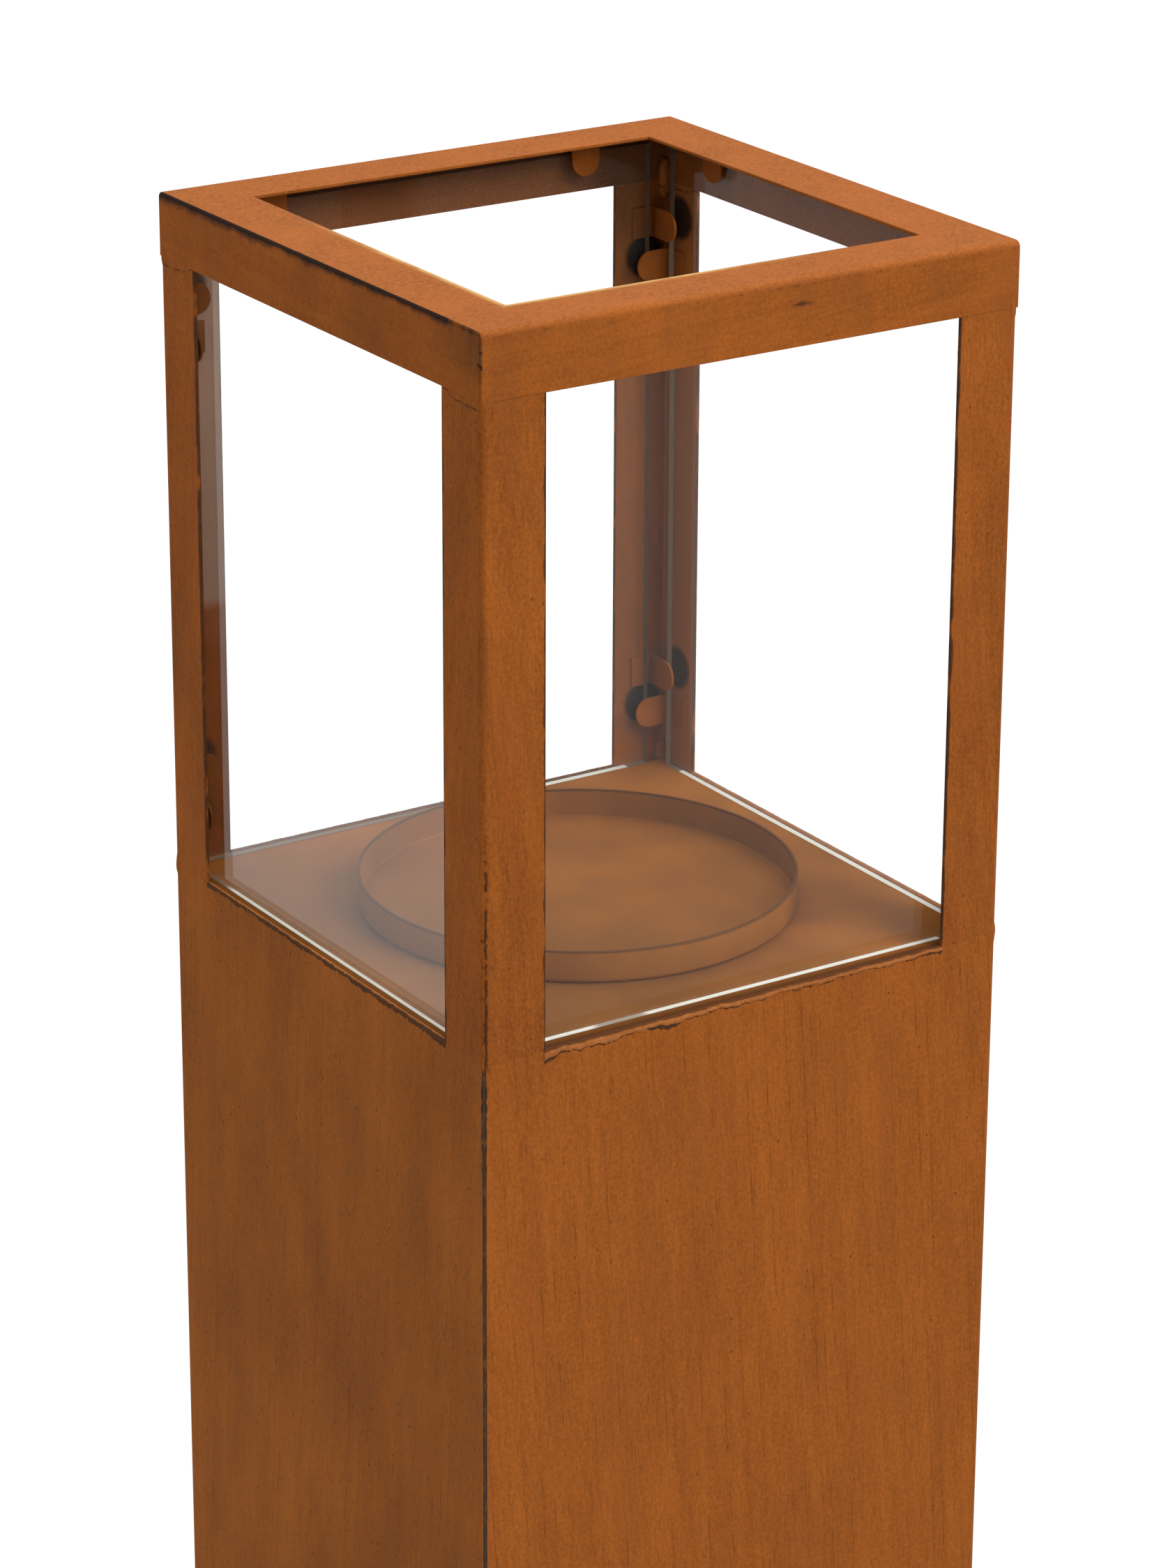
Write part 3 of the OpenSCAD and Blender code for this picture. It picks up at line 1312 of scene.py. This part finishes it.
RUST_DARK: Colour = (0.172, 0.0465, 0.0075)
RUST_LIGHT: Colour = (0.505, 0.143, 0.0215)
CLOUDY_DARK: Colour = (0.172, 0.0495, 0.0080)
CLOUDY_LIGHT: Colour = (0.505, 0.152, 0.0225)
OLIVE_DARK: Colour = (0.168, 0.0560, 0.0080)
OLIVE_LIGHT: Colour = (0.490, 0.163, 0.0225)
CAP_DARK: Colour = (0.185, 0.049, 0.0070)
CAP_LIGHT: Colour = (0.520, 0.146, 0.0220)
LIP_DARK: Colour = (0.220, 0.068, 0.0130)
LIP_LIGHT: Colour = (0.66, 0.232, 0.066)
BLACK: Colour = (0.012, 0.009, 0.008)
CRACK: Colour = (0.045, 0.020, 0.010)
# Colour of the painted shade inside and under the cap
INSIDE_SHADE: Colour = (0.115, 0.050, 0.0260)
# Lighter paint for the painted light on tops and on the posts' inner flanges
LIT_PAINT: Colour = (0.46, 0.145, 0.034)
# Colour of the painted highlight along the cap's opening
EDGE_HIGHLIGHT: Colour = (0.85, 0.56, 0.22)
SMUDGE: Colour = (0.070, 0.036, 0.0100)
# Colour of the painted shade in and beside the crevice behind the window lips
VALLEY_SHADE: Colour = (0.105, 0.035, 0.0102)
SEAM: Colour = (0.03, 0.018, 0.012)
FLANGE_GREY: Colour = (0.22, 0.145, 0.107)
FLANGE_DARK: Colour = (0.11, 0.020, 0.004)
# Colour of the painted shade on the shelf and the dish, towards the left and the front
NEAR_SHADE: Colour = (0.115, 0.045, 0.0075)
# Colour of the painted shade on the rear left post's clips
SHADED_CLIP: Colour = (0.075, 0.026, 0.0070)
# Colour of the painted shade on the dish's upright wall
DISH_WALL_SHADE: Colour = (0.2, 0.086, 0.012)


def paints(tear: Tear) -> dict[str, bpy.types.Material]:
    """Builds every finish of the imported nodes.

    Args:
        tear: Lower border of the window lips.

    Returns:
        Finishes by ending or whole name of the nodes.
    """
    seam = Mark(SeamShade(), SEAM, 0.92)
    torn = Mark(TornShade(tear), CRACK, 0.88)
    wall = RustPaint(
        "wall_paint", RUST_DARK, RUST_LIGHT, Grain.UPRIGHT,
        streak=0.45, cloud=0.35, dulled=0.22, threads=0.42, marks=(torn, seam),
    )
    cloudy = RustPaint(
        "cloudy_paint", CLOUDY_DARK, CLOUDY_LIGHT, Grain.UPRIGHT,
        streak=0.3, cloud=0.8, dulled=0.35, specks=1.3, threads=0.35, marks=(torn, seam),
    )
    post = RustPaint(
        "post_paint", RUST_DARK, RUST_LIGHT, Grain.UPRIGHT, streak=0.5, cloud=0.85, grit=0.8, threads=0.12,
        marks=(
            # painted light on the posts' inner side flanges
            Mark(PostInsideLight(), LIT_PAINT, 0.75), Mark(FarFlange(greyer=True), FLANGE_GREY, 0.85),
            Mark(FarFlange(greyer=False), FLANGE_DARK, 0.75), Mark(WindowEdge(), CRACK, 0.85),
            Mark(JointCrack(), CRACK, 0.7), Mark(SprayShadow(), BLACK, 0.96),
            Mark(CornerSpots(), BLACK, 0.75),
        ),
    )
    cap = RustPaint(
        "cap_paint", CAP_DARK, CAP_LIGHT, Grain.LEVEL, streak=0.4, cloud=0.7, dulled=0.5, specks=0.5,
        marks=(
            # painted light on the cap's top, painted shade inside and under the cap
            Mark(LitTop(), LIT_PAINT, 0.8), Mark(ShadedInside(), INSIDE_SHADE, 0.6),
            Mark(FoldSpeckle(), CRACK, 0.4), Mark(Smear(), CRACK, 0.8),
            # painted highlight along the edge of the cap's opening
            Mark(OpeningHighlight(), EDGE_HIGHLIGHT, 0.75), Mark(CornerSmudge(), SMUDGE, 0.5),
            Mark(EdgeBurn(), BLACK, 0.93), Mark(LadderMarks(), BLACK, 0.85),
        ),
    )
    # painted shade on the shelf and the dish, darker towards the left and the front
    coat = Mark(NearShade(), NEAR_SHADE, 0.53)
    shelf = RustPaint(
        "shelf_paint", OLIVE_DARK, OLIVE_LIGHT, Grain.EVEN,
        streak=0.16, cloud=0.8, grit=0.24, specks=0.06, bump=0.02,
        # painted shade in the crevice behind the window lips
        marks=(coat, Mark(CreviceShade(), VALLEY_SHADE, 0.95)),
    )
    clip = RustPaint(
        "clip_paint", RUST_DARK, RUST_LIGHT, Grain.EVEN, streak=0.1, grit=0.5, specks=0.15, bump=0.1,
        # painted shade on the rear left post's clips
        marks=(Mark(ShadedClips(), SHADED_CLIP, 0.75),),
    )
    far_glass = ClearGlass("far_glass", index=1.22, gloss=(0.2, 0.2, 0.2))
    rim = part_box("dish")[1].z
    # the dish takes the shelf's painted shade, painted shade on its upright wall and a dark rim line
    dish_marks = (coat, Mark(DishWallShade(), DISH_WALL_SHADE, 0.25), Mark(RimLine(rim), CRACK, 0.6))
    dish = replace(shelf, name="dish_paint", marks=dish_marks)
    made = {
        "front_shell": wall, "rear_shell": cloudy, "post": post,
        "cap_channel": cap, "cap_left_side": cap, "cap_right_side": cap,
        "tray": shelf, "clips": clip, "dish": dish,
        "seam_welds": WeldSteel("seam_weld"),
        "pane": ClearGlass("glass"), "rear_pane": far_glass, "right_pane": far_glass,
    }
    built = {finish: finish.material() for finish in dict.fromkeys(made.values())}
    return {key: built[finish] for key, finish in made.items()}


def main() -> None:
    """Builds the column's finishes, its detail pieces and the studio."""
    logging.basicConfig(level=logging.INFO, format="%(name)s: %(message)s")
    bpy.context.scene.view_settings.view_transform = "Standard"
    tear = Tear()
    finishes = paints(tear)
    SheetParts().dress(finishes)
    lip = RustPaint(
        "lip_paint", LIP_DARK, LIP_LIGHT, Grain.EVEN, streak=0.5, specks=0.7, bump=0.5,
        marks=(
            # painted shade of the crevice on the lips' upper part and behind them
            Mark(RidgeTopShade(tear), VALLEY_SHADE, 0.92), Mark(CreviceShade(), VALLEY_SHADE, 0.6),
            Mark(RidgeFoot(), CRACK, 0.85),
        ),
    )
    WindowLips(tear).build(lip.material())
    CornerWelds().build(finishes["post"])
    Studio().build()


if __name__ == "__main__":
    main()
